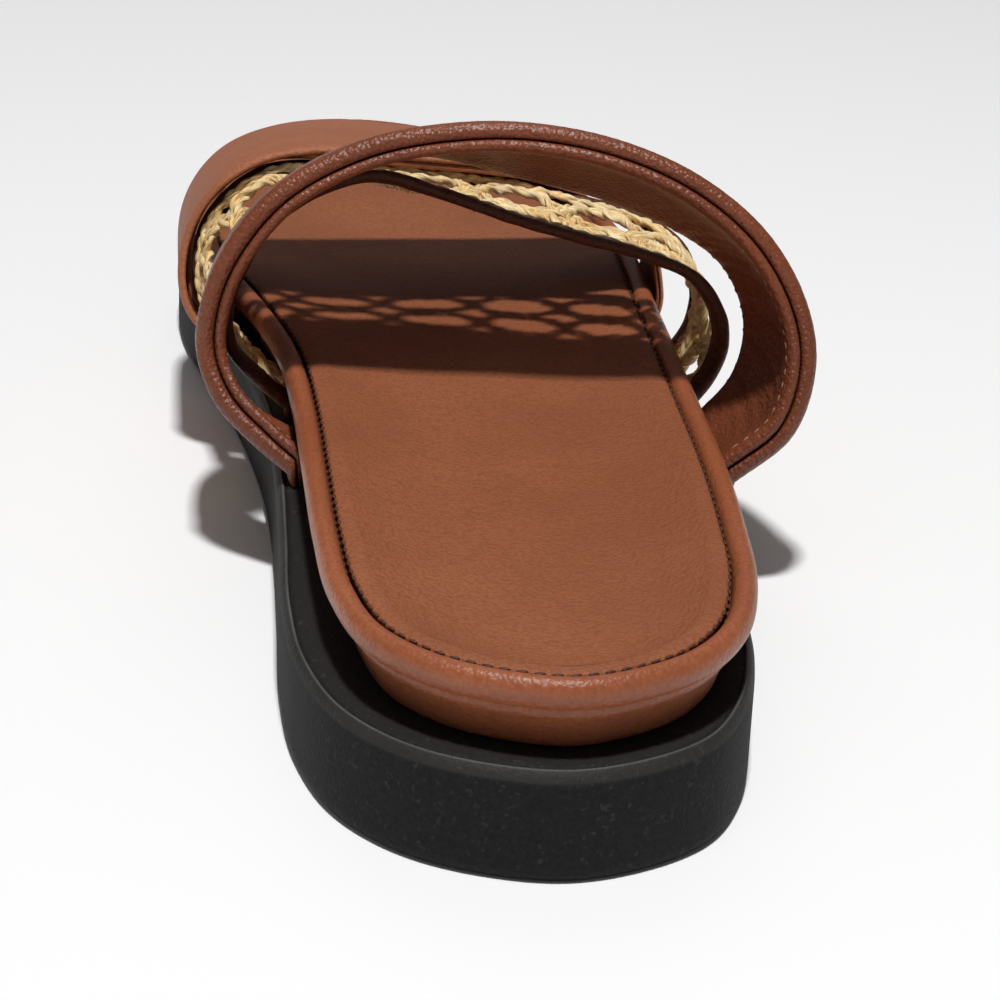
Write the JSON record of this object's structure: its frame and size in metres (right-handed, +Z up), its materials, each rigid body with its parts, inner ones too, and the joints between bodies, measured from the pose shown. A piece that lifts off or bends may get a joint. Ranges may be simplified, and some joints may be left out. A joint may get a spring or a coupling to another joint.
{
  "type": "slide sandal",
  "caption": "Open-toe slide sandal with a padded footbed on a flat outsole, two plain leather straps and a woven strap crossing over the foot.",
  "frame": {"origin": "on the floor, under the middle of the shoe's bounding box", "axes": "+Y towards the toe, +X towards the outer (lateral) side, +Z up"},
  "size_m": [0.0934, 0.257, 0.0691],
  "materials": {
    "tan_leather": "satin",
    "dark_leather": "satin",
    "black_rubber": "matte",
    "raffia": "matte"
  },
  "bodies": {
    "root": {"outsole": "black_rubber", "footbed": "tan_leather", "insole": "tan_leather", "rear_strap": "tan_leather", "raffia_lace": "raffia", "raffia_rear_binding": "dark_leather", "raffia_front_binding": "dark_leather", "front_strap": "tan_leather"}
  },
  "joints": []
}
